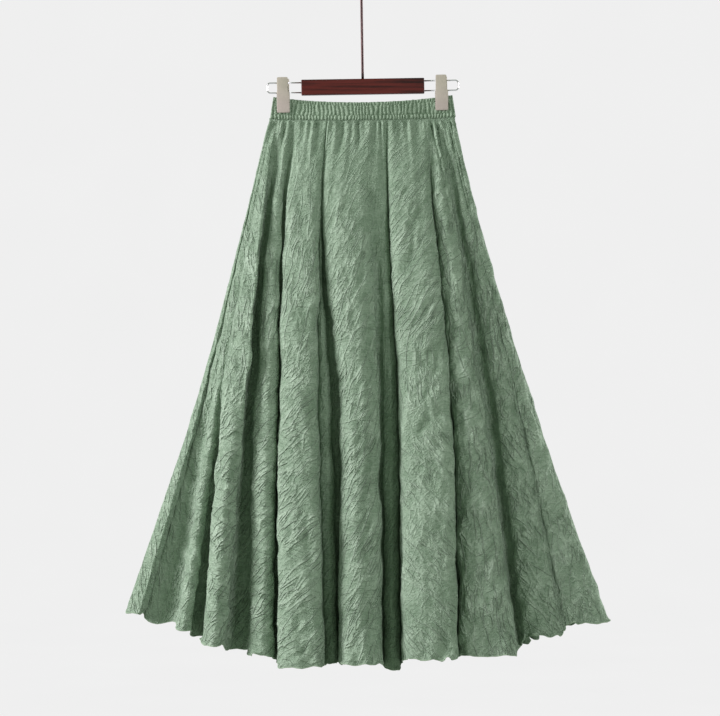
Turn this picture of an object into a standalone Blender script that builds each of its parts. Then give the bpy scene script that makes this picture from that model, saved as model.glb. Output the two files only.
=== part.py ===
"""A gathered maxi skirt hanging from a wooden bar hanger with two sliding clips.

The skirt is a front and a back panel cut in flare, gathered on to a ruched
elastic waistband, and it hangs in deep flutes that open towards the hem.
Metres, +Z up, the front faces -Y, and the origin is the inside top of the hook.
"""
import math

import bmesh
import bpy
from mathutils import Matrix, Vector

MM = 0.001

# driving sizes of the skirt
SEAM_Z = -0.2569            # height of the waist seam at its middle
SEAM_RISE_ENDS = 0.0040     # the seam sags by this much between its ends
SEAM_TILT = 0.0016          # its right end hangs higher, its left end lower
SKIRT_X = 0.0032            # the skirt's middle, below the middle of the tilted bar
WAIST_HALF = 0.149          # half the flat width at the waist seam
PANEL_WALL = 0.0012         # cloth of the panels
SEAM_GAP = 0.0003           # clearance between sewn pieces
STRAIGHT_BELOW_SEAM = 0.006 # the cloth leaves the seam upright
HEM_LEVEL = 0.766           # depths in the tables hold at this drop
FLARE_POWER = 0.75          # how fast the flutes swell on the way down
VALLEY_POWER = 0.7
VALLEY_ROUND = 0.8          # a valley's wall stands this much of its width over its floor
VALLEY_INSET = 0.3          # its two bends, in from its walls, as a share of its width
CREST_INSET = 0.15          # a crest's shoulders, in from its edges, as a share of its width
SIDE_HEM_DROPS = (775, 783) # mm, at the left and the right side seam
VALLEY_HEM_DROP = 4         # mm, by which the hem hangs lower in a valley
MOUTH_HALF = 0.0070         # half the gap between front and back at the waist's middle

# gathers where the panels are drawn on to the waistband
GATHERS = 22
GATHER_DEPTH = 0.0026
GATHER_LENGTH = 0.045       # the gathers fade over this drop

# waistband
BAND_WALL = 0.0028          # at a rib's crest
BAND_VALLEY_SHARE = 0.55    # of that wall, between two ribs
BAND_RIBS = 45
BAND_HEIGHT_MIDDLE = 0.028
BAND_HEIGHT_ENDS = 0.0345
BAND_TOP_HALF = 0.142       # half the flat width at the top edge

# hanger
HANGER_TILT = math.radians(0.9)
HOOK_RADIUS = 0.020         # inside the hook
HOOK_WIRE = 0.0021          # radius of its wire
BAR_DROP = 0.2035           # from the origin to the middle of the bar
BAR_SIZE = (0.195, 0.012, 0.0245)
RAIL_WIRE = 0.0011          # radius of the rail's wire
RAIL_HALF_HEIGHT = 0.0079   # from the bar's axis to the middle of a prong
RAIL_REACH = 0.1525         # from the middle of the bar to the outside of the loop
RAIL_CORNER = 0.0045
CLIP_LEFT_X = -0.1265
CLIP_RIGHT_X = 0.1248
CLIP_SIZE = (0.0203, 0.0015, 0.0564)
CLIP_BELOW_AXIS = 0.0396    # from the rail's axis to the jaw's end
CLIP_LEAN = math.radians(8.0)
CLIP_EAR = (0.0012, 0.0090)
SPRING_LENGTH = 0.0120

# Heights, as drops below the waist seam, at which the front folds are measured.
DROPS = (0.008, 0.127, 0.444, 0.762)

# Front folds from left to right, in mm: the left and right edge of each ridge at
# those four heights, how far its crest and the valley on its right stand forward
# at the hem, the drop of its hem, and the drop at which that valley begins.
FRONT_FOLDS = (
    # name      waist         hip           knee          hem           crest valley hem  begins
    ("side",   (-150, -148), (-179, -176), (-263, -256), (-369, -350),  22,   14,  781, 400),
    ("outer",  (-146, -144), (-174, -168), (-240, -226), (-297, -264),  48,   14,  803, 400),
    ("bright", (-143, -138), (-166, -157), (-218, -188), (-240, -209),  80,   18,  825,  20),
    ("slim",   (-126, -115), (-141, -128), (-167, -135), (-174, -142),  75,   30,  841,  10),
    ("broad",  (-102,  -60), (-118,-67.5), (-130,  -72), (-131,  -65), 100,   45,  855,  15),
    ("tucked", ( -58,  -56), ( -66,  -65), ( -68,  -53), ( -60,  -42),  52,   20,  854,  40),
    ("centre", ( -54,   13), (-63.5,   8), ( -34,   23), ( -35,   28),  98,   25,  851, 110),
    ("inset",  (  24,   34), (  28,   38), (  34,   53), (  35,   56),  48,   24,  866,  10),
    ("widest", (  40,   97), (  42,  108), (  57,  137), (  62,  144), 105,   40,  843,  30),
    ("creased",( 107,  120), ( 112,  139), ( 142,  183), ( 152,  229),  84,   25,  840,  10),
    ("wing",   ( 126,  137), ( 154,  164), ( 210,  240), ( 248,  305),  58,   38,  814, 460),
    ("edge",   ( 139,  148), ( 166,  175), ( 243,  267), ( 311,  380),  30,    4,  794,   0),
)

# Back folds from left to right, seen from the front: the edges of each ridge as
# shares of the half width at the waist and at the hem, then the same depths and
# drops in mm, towards the back.
BACK_FOLDS = (
    # name       waist           hem            crest valley hem  begins
    ("back_1", (-0.97, -0.86), (-0.94, -0.78),   45,   14,  782,   0),
    ("back_2", (-0.80, -0.66), (-0.70, -0.50),   75,   25,  806,  40),
    ("back_3", (-0.60, -0.40), (-0.42, -0.27),   60,   30,  832,  90),
    ("back_4", (-0.36, -0.14), (-0.22, -0.02),   95,   35,  850,  10),
    ("back_5", (-0.08,  0.10), ( 0.05,  0.20),   80,   30,  856,  60),
    ("back_6", ( 0.16,  0.38), ( 0.26,  0.46),   98,   30,  856,  10),
    ("back_7", ( 0.44,  0.60), ( 0.52,  0.66),   70,   22,  838, 120),
    ("back_8", ( 0.66,  0.80), ( 0.72,  0.86),   60,   12,  806,  30),
    ("back_9", ( 0.86,  0.96), ( 0.91,  0.98),   30,    4,  786,   0),
)

# The panels' grids, and what their columns follow.
FRONT_GRID = (116, 12)      # columns and rows
BACK_GRID = (88, 11)
HEM_SHARE, WAIST_SHARE, TURN_SHARE = 0.45, 0.22, 0.33
ROW_POWER = 1.3             # rows lie closer towards the waist


# ---------------------------------------------------------------- helpers

def clear_scene():
    for obj in list(bpy.data.objects):
        bpy.data.objects.remove(obj, do_unlink=True)


def make_material(name, colour, roughness, metallic=0.0):
    mat = bpy.data.materials.new(name)
    mat.use_nodes = True
    shader = mat.node_tree.nodes["Principled BSDF"]
    shader.inputs["Base Color"].default_value = (*colour, 1.0)
    shader.inputs["Roughness"].default_value = roughness
    shader.inputs["Metallic"].default_value = metallic
    return mat


def add_object(name, bm, collection, mat, smooth=True):
    mesh = bpy.data.meshes.new(name)
    bm.to_mesh(mesh)
    bm.free()
    mesh.materials.append(mat)
    if smooth:
        mesh.shade_smooth()
    obj = bpy.data.objects.new(name, mesh)
    collection.objects.link(obj)
    return obj


def sheet(name, columns, rows, place, wall, collection, mat):
    """A grid whose points `place(across, up)` moves, given a wall by Solidify."""
    bm = bmesh.new()
    bmesh.ops.create_grid(bm, x_segments=columns, y_segments=rows, size=0.5)
    for vert in bm.verts:
        across = round((vert.co.x + 0.5) * columns)
        up = vert.co.y + 0.5
        vert.co = place(across, up)
    obj = add_object(name, bm, collection, mat)
    facets = obj.modifiers.new("facets", "TRIANGULATE")   # the same on both faces
    facets.quad_method = "FIXED"
    solid = obj.modifiers.new("wall", "SOLIDIFY")
    solid.thickness = wall
    solid.offset = 0.0
    return obj


def mix(a, b, share):
    return a + (b - a) * share


def swell(drop, start, power):
    """Growth of a fold from 0 where it starts to 1 at the hem level."""
    start = max(start, STRAIGHT_BELOW_SEAM)
    if drop <= start:
        return 0.0
    return ((drop - start) / (HEM_LEVEL - start)) ** power


def along(drop, places):
    """A smooth line through a fold's places at the four heights, straight past them."""
    slopes = [(places[i + 1] - places[i]) / (DROPS[i + 1] - DROPS[i]) for i in range(3)]
    if drop <= DROPS[0]:
        return places[0] + slopes[0] * (drop - DROPS[0])
    if drop >= DROPS[-1]:
        return places[-1] + slopes[-1] * (drop - DROPS[-1])
    leans = [slopes[0], mix(slopes[0], slopes[1], 0.5), mix(slopes[1], slopes[2], 0.5), slopes[2]]
    i = max(k for k in range(3) if drop >= DROPS[k])
    span = DROPS[i + 1] - DROPS[i]
    t = (drop - DROPS[i]) / span
    return (places[i] * (1 + 2 * t) * (1 - t) ** 2 + leans[i] * span * t * (1 - t) ** 2
            + places[i + 1] * t * t * (3 - 2 * t) + leans[i + 1] * span * t * t * (t - 1))


def spline_shares(place, count):
    """The control points, with their shares, that set a uniform cubic B-spline at `place`."""
    k = math.floor(place)
    t = place - k
    shares = ((1 - t) ** 3 / 6, (3 * t ** 3 - 6 * t * t + 4) / 6,
              (-3 * t ** 3 + 3 * t * t + 3 * t + 1) / 6, t ** 3 / 6)
    return [(min(max(k + i - 1, 0), count - 1), share) for i, share in enumerate(shares)]


def blend(values, place):
    return sum(values[i] * share for i, share in spline_shares(place, len(values)))


# ---------------------------------------------------------------- the skirt's form

def seam_z(x):
    share = (x - SKIRT_X) / WAIST_HALF
    return SEAM_Z + SEAM_RISE_ENDS * share * share + SEAM_TILT * share


def mouth(x):
    """Half the gap between the front and back walls at the waist, closed at the clips."""
    share = min(abs(x - SKIRT_X) / (CLIP_RIGHT_X - 0.012), 1.0)
    return SEAM_GAP / 2 + MOUTH_HALF * (1 - share * share) ** 1.5


def side_x(drop, side):
    """The skirt's outline: the outer edges of the first and the last front fold."""
    fold, edge = (FRONT_FOLDS[0], 0) if side < 0 else (FRONT_FOLDS[-1], 1)
    return along(drop, [fold[1 + i][edge] * MM for i in range(4)])


def front_edges(drop):
    return [(along(drop, [fold[1 + i][0] * MM for i in range(4)]),
             along(drop, [fold[1 + i][1] * MM for i in range(4)])) for fold in FRONT_FOLDS]


def back_edges(drop):
    left, right = side_x(drop, -1), side_x(drop, 1)
    middle, half = (left + right) / 2, (right - left) / 2
    fall = min(drop / DROPS[-1], 1.0)
    return [tuple(middle + half * mix(fold[1][i], fold[2][i], fall) for i in (0, 1))
            for fold in BACK_FOLDS]


def section(drop, edges, depths):
    """Control points (x, depth) of a panel's level section: for each fold its left edge,
    the crest's two shoulders and its right edge, and then the valley's two bends.

    An edge lies low on its valley's wall, by a share of the valley's width, so that
    the narrowest valleys still turn round at the bottom.
    """
    crests = [crest * MM * swell(drop, 0.0, FLARE_POWER) for crest, valley, begins in depths]
    floors = []
    for i in range(len(edges) - 1):
        full = ((depths[i][0] + depths[i + 1][0]) / 2 - depths[i][1]) * MM
        sink = full * swell(drop, depths[i][2] * MM, VALLEY_POWER)
        floors.append((crests[i] + crests[i + 1]) / 2 - sink)

    def wall(crest, floor, width):
        return floor + min((crest - floor) / 2, VALLEY_ROUND * width)

    points = [(side_x(drop, -1), 0.0)]
    for i, (left, right) in enumerate(edges):
        inset = CREST_INSET * (right - left)
        before = (wall(crests[i], floors[i - 1], left - edges[i - 1][1]) if i
                  else crests[i] / 2)
        after = (wall(crests[i], floors[i], edges[i + 1][0] - right) if i < len(floors)
                 else crests[i] / 2)
        points += [(left, before), (left + inset, crests[i]),
                   (right - inset, crests[i]), (right, after)]
        if i < len(floors):
            bend = VALLEY_INSET * (edges[i + 1][0] - right)
            points += [(right + bend, floors[i]), (edges[i + 1][0] - bend, floors[i])]
    points.append((side_x(drop, 1), 0.0))
    return points


def gather(x, drop):
    """How far a gather lifts the cloth below the waist seam, never inwards."""
    share = (x - SKIRT_X) / WAIST_HALF
    wave = math.sin(math.pi * GATHERS * share + 1.3 * math.sin(4.1 * share))
    uneven = 0.75 + 0.25 * math.sin(9.7 * share + 1.0)
    return GATHER_DEPTH * (0.5 + 0.5 * wave * uneven) * math.exp(-drop / GATHER_LENGTH)


def hem_line(drops):
    """The hem's drop at each control point, from its drop at each crest."""
    line = [SIDE_HEM_DROPS[0]]
    for i, drop in enumerate(drops):
        before = drops[i - 1] if i else SIDE_HEM_DROPS[0]
        after = drops[i + 1] if i + 1 < len(drops) else SIDE_HEM_DROPS[1]
        line += [(before + drop) / 2, drop, drop, (drop + after) / 2]
        if i + 1 < len(drops):
            line += [(drop + after) / 2 + VALLEY_HEM_DROP] * 2
    return line + [SIDE_HEM_DROPS[1]]


def panel_point(place, fall, edges_at, folds, forward):
    """A point of a panel's middle surface: `place` across it, `fall` from seam to hem."""
    depths = [(fold[-4], fold[-3], fold[-1]) for fold in folds]
    hem_drop = blend(hem_line([fold[-2] for fold in folds]), place) * MM
    waist = section(0.0, edges_at(0.0), depths)
    waist_x = blend([p[0] for p in waist], place) + SKIRT_X
    z = mix(seam_z(waist_x) - SEAM_GAP / 2, SEAM_Z - hem_drop, fall)
    drop = max(SEAM_Z - z, 0.0)
    points = section(drop, edges_at(drop), depths)
    x = blend([p[0] for p in points], place) + SKIRT_X
    depth = blend([p[1] for p in points], place)
    clear = (SEAM_GAP + PANEL_WALL) / 2
    opened = (mouth(waist_x) - SEAM_GAP / 2) * math.exp(-drop / 0.300)
    return Vector((x, forward * (clear + opened + depth + gather(waist_x, drop)), z))


def stations(columns, edges_at, folds):
    """Places across a panel: even steps of hem, of waist and of the hem's turning, weighed."""
    steps = 600
    controls = 6 * len(folds)
    fine = [-1 + (controls + 1) * i / steps for i in range(steps + 1)]
    hem = [panel_point(p, 1.0, edges_at, folds, 1).to_2d() for p in fine]
    waist = [panel_point(p, 0.0, edges_at, folds, 1).x for p in fine]
    hem_run, waist_run, turn_run = [0.0], [0.0], [0.0]
    for i in range(steps):
        step = hem[i + 1] - hem[i]
        hem_run.append(hem_run[-1] + step.length)
        waist_run.append(waist_run[-1] + abs(waist[i + 1] - waist[i]))
        turn = step.angle(hem[i] - hem[i - 1], 0.0) if i else 0.0
        turn_run.append(turn_run[-1] + turn)
    run = [HEM_SHARE * h / hem_run[-1] + WAIST_SHARE * w / waist_run[-1]
           + TURN_SHARE * t / turn_run[-1] for h, w, t in zip(hem_run, waist_run, turn_run)]
    places, k = [], 0
    for column in range(columns + 1):
        goal = column / columns
        while k < steps - 1 and run[k + 1] < goal:
            k += 1
        share = (goal - run[k]) / (run[k + 1] - run[k])
        places.append(mix(fine[k], fine[k + 1], min(share, 1.0)))
    return places


def add_panel(name, grid, edges_at, folds, forward, collection, mat):
    columns, rows = grid
    places = stations(columns, edges_at, folds)
    if forward > 0:
        places.reverse()

    def place(column, up):
        fall = (1 - up) ** ROW_POWER
        point = panel_point(places[column], fall, edges_at, folds, forward)
        if column in (0, columns):
            # The side seam: the panels lie on each other under the waist, and further
            # down the flutes turn them until they meet edge to edge.
            inner = panel_point(places[abs(column - 1)], fall, edges_at, folds, forward)
            lying = abs(inner.x - point.x) / (inner - point).to_2d().length
            point.y = forward * (SEAM_GAP + PANEL_WALL * lying) / 2
        return point

    return sheet(name, columns, rows, place, PANEL_WALL, collection, mat)


def add_band(name, forward, collection, mat):
    """A waistband half: plain inside, with ruched ribs raised on its outside."""
    columns, rows = 2 * BAND_RIBS, 3

    def place(column, up):
        across = 2 * column / columns - 1
        if forward > 0:
            across = -across
        seam_x = SKIRT_X + WAIST_HALF * across
        height = mix(BAND_HEIGHT_MIDDLE, BAND_HEIGHT_ENDS, across * across)
        x = SKIRT_X + mix(WAIST_HALF, BAND_TOP_HALF, up) * across
        z = seam_z(seam_x) + SEAM_GAP / 2 + height * up
        return Vector((x, forward * mouth(seam_x), z))

    obj = sheet(name, columns, rows, place, BAND_WALL, collection, mat)
    ribs = obj.vertex_groups.new(name="ribs")
    for vert in obj.data.vertices:
        if vert.index % (columns + 1) % 2:
            ribs.add([vert.index], 1.0, "REPLACE")
    wall = obj.modifiers["wall"]
    wall.offset = 1.0
    wall.vertex_group = "ribs"
    wall.thickness_vertex_group = BAND_VALLEY_SHARE
    return obj


# ---------------------------------------------------------------- the hanger

def add_wire(name, route, radius, collection, mat, tip=1.0):
    curve = bpy.data.curves.new(name, "CURVE")
    curve.dimensions = "3D"
    curve.bevel_depth = radius
    curve.bevel_resolution = 2
    curve.use_fill_caps = True
    spline = curve.splines.new("POLY")
    spline.points.add(len(route) - 1)
    for point, (x, z) in zip(spline.points, route):
        point.co = (x, 0.0, z, 1.0)
    for point in spline.points[-2:]:
        point.radius = tip
    curve.materials.append(mat)
    obj = bpy.data.objects.new(name, curve)
    collection.objects.link(obj)
    return obj


def arc(centre, radius, first, last, steps):
    """Points of an arc in the hanger's plane, angles in degrees."""
    angles = [math.radians(mix(first, last, i / steps)) for i in range(steps + 1)]
    return [(centre[0] + radius * math.cos(a), centre[1] + radius * math.sin(a)) for a in angles]


def hook_route():
    """The straight stem, a neck that leans aside, and the hook round the origin."""
    bar_top = -BAR_DROP + BAR_SIZE[2] / 2 + SEAM_GAP
    ring = HOOK_RADIUS + HOOK_WIRE
    neck = [(0.0, -0.062), (0.0012, -0.0555), (0.0045, -0.0490)]
    return [(0.0, bar_top)] + neck + arc((0.0, -HOOK_RADIUS), ring, -62, 205, 15)


def rail_route(side):
    """A U of wire out of the bar's end and back into it."""
    start = side * (BAR_SIZE[0] / 2 + SEAM_GAP)
    end = side * (RAIL_REACH - RAIL_WIRE - RAIL_CORNER)
    half = RAIL_HALF_HEIGHT
    upper = arc((end, half - RAIL_CORNER), RAIL_CORNER, 90, 90 - side * 90, 4)
    lower = [(x, -z) for x, z in reversed(upper)]
    return [(start, half)] + upper + lower + [(start, -half)]


def box(bm, size, centre):
    matrix = Matrix.Translation(centre) @ Matrix.Diagonal((*size, 1.0))
    return bmesh.ops.create_cube(bm, size=1.0, matrix=matrix)["verts"]


def add_bar(collection, mat):
    bm = bmesh.new()
    box(bm, BAR_SIZE, (0, 0, 0))
    obj = add_object("hanger_bar", bm, collection, mat, smooth=False)
    bevel = obj.modifiers.new("edges", "BEVEL")
    bevel.width = 0.0012
    bevel.segments = 2
    return obj


def add_clip_jaw(name, forward, ear_x, collection, mat, bin_collection):
    """A leaning plate whose lower edge grips the waistband, with two ears at the spring."""
    width, thick, height = CLIP_SIZE
    grip = SEAM_GAP / 2 + BAND_WALL + SEAM_GAP
    middle = height / 2 - CLIP_BELOW_AXIS
    lean = Matrix.Rotation(-forward * CLIP_LEAN, 4, "X")
    hinge = Vector((0.0, forward * grip, -CLIP_BELOW_AXIS))
    bm = bmesh.new()
    box(bm, CLIP_SIZE, (0, forward * thick / 2, middle + CLIP_BELOW_AXIS))
    bm.transform(Matrix.Translation(hinge) @ lean)
    jaw = add_object(name, bm, collection, mat, smooth=False)
    bevel = jaw.modifiers.new("edges", "BEVEL")
    bevel.width = 0.0004
    bevel.segments = 1
    root = grip + CLIP_BELOW_AXIS * math.tan(CLIP_LEAN) + thick / 2
    reach = root + 0.0030
    for side in (-1, 1):
        bm = bmesh.new()
        box(bm, (CLIP_EAR[0], reach, CLIP_EAR[1]),
            (side * ear_x, forward * (root - reach / 2), 0.0))
        ear = add_object(f"{name}_ear_{side}", bm, bin_collection, mat, smooth=False)
        ear.display_type = "WIRE"
        ear.hide_render = True
        ear.parent = jaw
        join = jaw.modifiers.new(f"ear_{side}", "BOOLEAN")
        join.operation = "UNION"
        join.solver = "EXACT"
        join.object = ear
    return jaw


def add_spring(name, collection, mat):
    bm = bmesh.new()
    radius = RAIL_HALF_HEIGHT - RAIL_WIRE - SEAM_GAP
    bmesh.ops.create_cone(bm, cap_ends=True, segments=20, radius1=radius, radius2=radius,
                          depth=SPRING_LENGTH, matrix=Matrix.Rotation(math.pi / 2, 4, "Y"))
    return add_object(name, bm, collection, mat, smooth=False)


# ---------------------------------------------------------------- assembly

def build():
    clear_scene()
    skirt = bpy.data.collections.new("maxi_skirt_on_clip_hanger")
    cutters = bpy.data.collections.new("guides")
    bpy.context.scene.collection.children.link(skirt)
    bpy.context.scene.collection.children.link(cutters)

    cotton = make_material("sage_cotton", (0.165, 0.275, 0.172), 0.9)
    ruching = make_material("sage_ruching", (0.150, 0.255, 0.160), 0.9)
    wood = make_material("mahogany", (0.070, 0.020, 0.016), 0.35)
    bronze = make_material("dark_bronze", (0.060, 0.042, 0.040), 0.35, 0.9)
    chrome = make_material("chrome_wire", (0.75, 0.75, 0.76), 0.15, 1.0)
    satin = make_material("satin_nickel", (0.52, 0.49, 0.45), 0.45, 0.6)

    add_panel("skirt_front", FRONT_GRID, front_edges, FRONT_FOLDS, -1, skirt, cotton)
    add_panel("skirt_back", BACK_GRID, back_edges, BACK_FOLDS, 1, skirt, cotton)
    add_band("waistband_front", -1, skirt, ruching)
    add_band("waistband_back", 1, skirt, ruching)

    tilt = bpy.data.objects.new("hanger_tilt", None)
    skirt.objects.link(tilt)
    tilt.rotation_euler.y = -HANGER_TILT
    hook = add_wire("hanger_hook", hook_route(), HOOK_WIRE, skirt, bronze, tip=1.25)
    hook.parent = tilt
    axis = bpy.data.objects.new("bar_axis", None)
    skirt.objects.link(axis)
    axis.parent = tilt
    axis.location.z = -BAR_DROP

    pieces = [add_bar(skirt, wood)]
    for side, name in ((-1, "left"), (1, "right")):
        pieces.append(add_wire(f"rail_{name}", rail_route(side), RAIL_WIRE, skirt, chrome))
        at = CLIP_LEFT_X if side < 0 else CLIP_RIGHT_X
        ear_inner = SPRING_LENGTH / 2 + SEAM_GAP + CLIP_EAR[0] / 2
        ear_outer = ear_inner + CLIP_EAR[0] + SEAM_GAP
        clip = [add_clip_jaw(f"clip_front_{name}", -1, ear_inner, skirt, satin, cutters),
                add_clip_jaw(f"clip_back_{name}", 1, ear_outer, skirt, satin, cutters),
                add_spring(f"clip_spring_{name}", skirt, chrome)]
        for piece in clip:
            piece.location.x = at
        pieces += clip
    for piece in pieces:
        piece.parent = axis
    return skirt


build()
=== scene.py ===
"""Looks of a sage-green gathered maxi skirt on a clip hanger.

The cloth follows the fold tables of its solids, more finely and with its crinkles;
the hanger keeps its solids or gets finer metal and wood in their places.
"""
import math
from collections import namedtuple

import bmesh
import bpy
import numpy as np
from mathutils import Matrix, Vector


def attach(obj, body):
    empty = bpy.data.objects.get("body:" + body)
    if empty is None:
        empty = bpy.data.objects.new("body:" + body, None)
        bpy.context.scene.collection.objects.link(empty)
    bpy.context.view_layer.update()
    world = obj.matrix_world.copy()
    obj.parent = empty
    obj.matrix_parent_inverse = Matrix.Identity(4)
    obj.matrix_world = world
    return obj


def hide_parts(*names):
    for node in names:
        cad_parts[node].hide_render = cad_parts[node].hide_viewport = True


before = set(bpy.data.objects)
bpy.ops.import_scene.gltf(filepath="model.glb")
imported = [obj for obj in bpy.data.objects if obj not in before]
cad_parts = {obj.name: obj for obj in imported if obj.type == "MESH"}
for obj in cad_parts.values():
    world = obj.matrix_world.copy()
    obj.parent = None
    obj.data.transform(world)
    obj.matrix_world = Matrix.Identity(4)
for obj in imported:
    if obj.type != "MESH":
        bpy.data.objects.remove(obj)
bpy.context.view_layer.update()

MM = 0.001

# ---------------- sizes of the skirt
SEAM_Z = -0.2569            # height of the waist seam at its middle
SEAM_RISE_ENDS = 0.0040
SEAM_TILT = 0.0016
SKIRT_X = 0.0032            # the skirt's middle
WAIST_HALF = 0.149          # half the flat width at the waist seam
SEAM_GAP = 0.0003
STRAIGHT_BELOW_SEAM = 0.006
HEM_LEVEL = 0.766
FLARE_POWER = 0.75
VALLEY_POWER = 0.7
VALLEY_ROUND = 0.8
VALLEY_INSET = 0.3
VALLEY_FOOT = 0.007         # a wide valley reaches this close to the next ridge
SIDE_HEM_DROPS = (775, 783)
VALLEY_HEM_DROP = 4
MOUTH_HALF = 0.0070
CLOTH = 0.0006              # thickness of the real cloth

# a fold's corners, finer than its solid's
CORNER_LEFT = (0.018, 0.55)     # how far a crest's left corner reaches in, at most, and
CORNER_RIGHT = (0.010, 0.34)    # as a share of its width, more where its right lies back
SIDE_CORNER = 1.6               # the first ridge is rounder, along the skirt's side
FOLD_WANDER = 0.0024            # the valleys wander by this on the way down
OVERHANG_SHARE = 0.26       # a crest leans over each valley by this share of its width
OVERHANG_MOST = 0.0032

# relief of the crushed cloth: heights first, then spacings
CRINKLE = 0.0027
LENGTHWISE = 0.0016
SWELLING = 0.0014
GATHER = (0.0023, 0.0150)       # where the cloth is drawn on to the band
FINE_GATHER = (0.0008, 0.0056)
FLUTTER = (0.0055, 0.024)       # the hem in and out
FINE_FLUTTER = (0.0009, 0.0085)
SCALLOP = (0.0046, 0.026)       # the hem up and down
FINE_SCALLOP = (0.0008, 0.0090)
CURL_OUT, CURL_IN = 2.3, 1.5    # how far its last centimetre turns, in radians

# panels: lengthwise lines and level rows of the cloth
FRONT_GRID = (480, 258)
BACK_GRID = (320, 216)

# waistband
BAND_WALL = 0.0028
BAND_HEIGHT_MIDDLE = 0.028
BAND_HEIGHT_ENDS = 0.0345
BAND_TOP_HALF = 0.142
SEWN_IN = 0.0012            # the skirt's top edge goes this far up into the band

# hanger
HANGER_TILT = math.radians(0.9)
HOOK_RADIUS = 0.020
HOOK_WIRE = 0.0021
BAR_DROP = 0.2035
BAR_SIZE = (0.195, 0.012, 0.0245)
RAIL_WIRE = 0.0011
RAIL_HALF_HEIGHT = 0.0079
RAIL_REACH = 0.1525
RAIL_CORNER = 0.0045
CLIP_XS = {"left": -0.1265, "right": 0.1248}
CLIP_SIZE = (0.0203, 0.0012, 0.0564)
CLIP_BELOW_AXIS = 0.0396
CLIP_LEAN = math.radians(8.0)
CLIP_EAR = (0.0012, 0.0090)
SPRING_LENGTH = 0.0120
SPRING_WIRE = 0.0005

DROPS = (0.008, 0.127, 0.444, 0.762)    # heights of the fold tables, below the seam

# For each ridge: its left and right edges from the seam down, how far its crest and the
# valley on its right stand forward at the hem, its hem's drop, where that valley begins,
# how far its right shoulder lies back (below nought: juts out, high up), the way its
# crinkles run above and below, in degrees from level, and how strong they are.
Fold = namedtuple("Fold", "name edges crest valley drop begins back leans crinkle")

# The front's edges are in mm, at the four heights.
FRONT_FOLDS = tuple(Fold(*row) for row in (
    ("side", (-150, -148, -179, -176, -263, -250, -369, -340), 28, 8, 781, 400, 12, (65, 60), 0.9),
    ("outer", (-146, -144, -174, -168, -234, -224, -284, -267), 50, 14, 803, 400, 3, (65, 45), 1.0),
    ("bright", (-143, -138, -166, -157, -218, -187, -243, -214), 80, 20, 825, 20, -13, (68, 40),
     1.3),
    ("slim", (-126, -115, -141, -128, -167, -135, -174, -142), 75, 30, 841, 10, 3, (65, 38), 1.1),
    ("broad", (-102, -60, -118, -67.5, -130, -72, -131, -65), 100, 45, 855, 15, 0, (60, 38), 1.0),
    ("tucked", (-58, -56, -66, -65, -68, -53, -60, -42), 52, 20, 854, 40, 3, (75, 60), 0.6),
    ("centre", (-54, 13, -63.5, 8, -34, 23, -35, 28), 98, 25, 851, 110, 8, (65, 62), 1.0),
    ("inset", (24, 34, 28, 38, 34, 53, 35, 56), 48, 24, 866, 10, 3, (80, 70), 0.6),
    ("widest", (40, 97, 42, 108, 57, 137, 62, 144), 105, 40, 843, 30, 1, (58, 130), 1.0),
    ("creased", (107, 120, 112, 139, 142, 183, 152, 229), 84, 17, 840, 10, 9, (110, 118), 1.6),
    ("wing", (126, 137, 154, 164, 210, 240, 248, 305), 46, 37, 814, 460, 3, (108, 128), 1.5),
    ("edge", (139, 148, 166, 175, 243, 267, 311, 376), 36, 4, 794, 0, 2, (110, 122), 1.4),
))

# The back's are shares of the half width, at the waist and the hem.
BACK_FOLDS = tuple(Fold(*row) for row in (
    ("back_1", (-0.97, -0.86, -0.94, -0.78), 45, 14, 782, 0, 3, (65, 55), 0.7),
    ("back_2", (-0.80, -0.66, -0.70, -0.50), 75, 25, 806, 40, 9, (66, 42), 1.0),
    ("back_3", (-0.60, -0.40, -0.42, -0.27), 60, 30, 832, 90, 4, (60, 50), 0.9),
    ("back_4", (-0.36, -0.14, -0.22, -0.02), 95, 35, 850, 10, 12, (62, 35), 1.0),
    ("back_5", (-0.08, 0.10, 0.05, 0.20), 80, 30, 856, 60, 6, (115, 160), 0.9),
    ("back_6", (0.16, 0.38, 0.26, 0.46), 98, 30, 856, 10, 12, (120, 135), 1.0),
    ("back_7", (0.44, 0.60, 0.52, 0.66), 70, 22, 838, 120, 5, (114, 125), 1.0),
    ("back_8", (0.66, 0.80, 0.72, 0.86), 60, 12, 806, 30, 5, (110, 130), 0.9),
    ("back_9", (0.86, 0.96, 0.91, 0.98), 30, 4, 786, 0, 2, (110, 120), 0.7),
))
CONTROLS_PER_FOLD = 8       # points that shape a ridge and its valley, see section()

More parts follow.
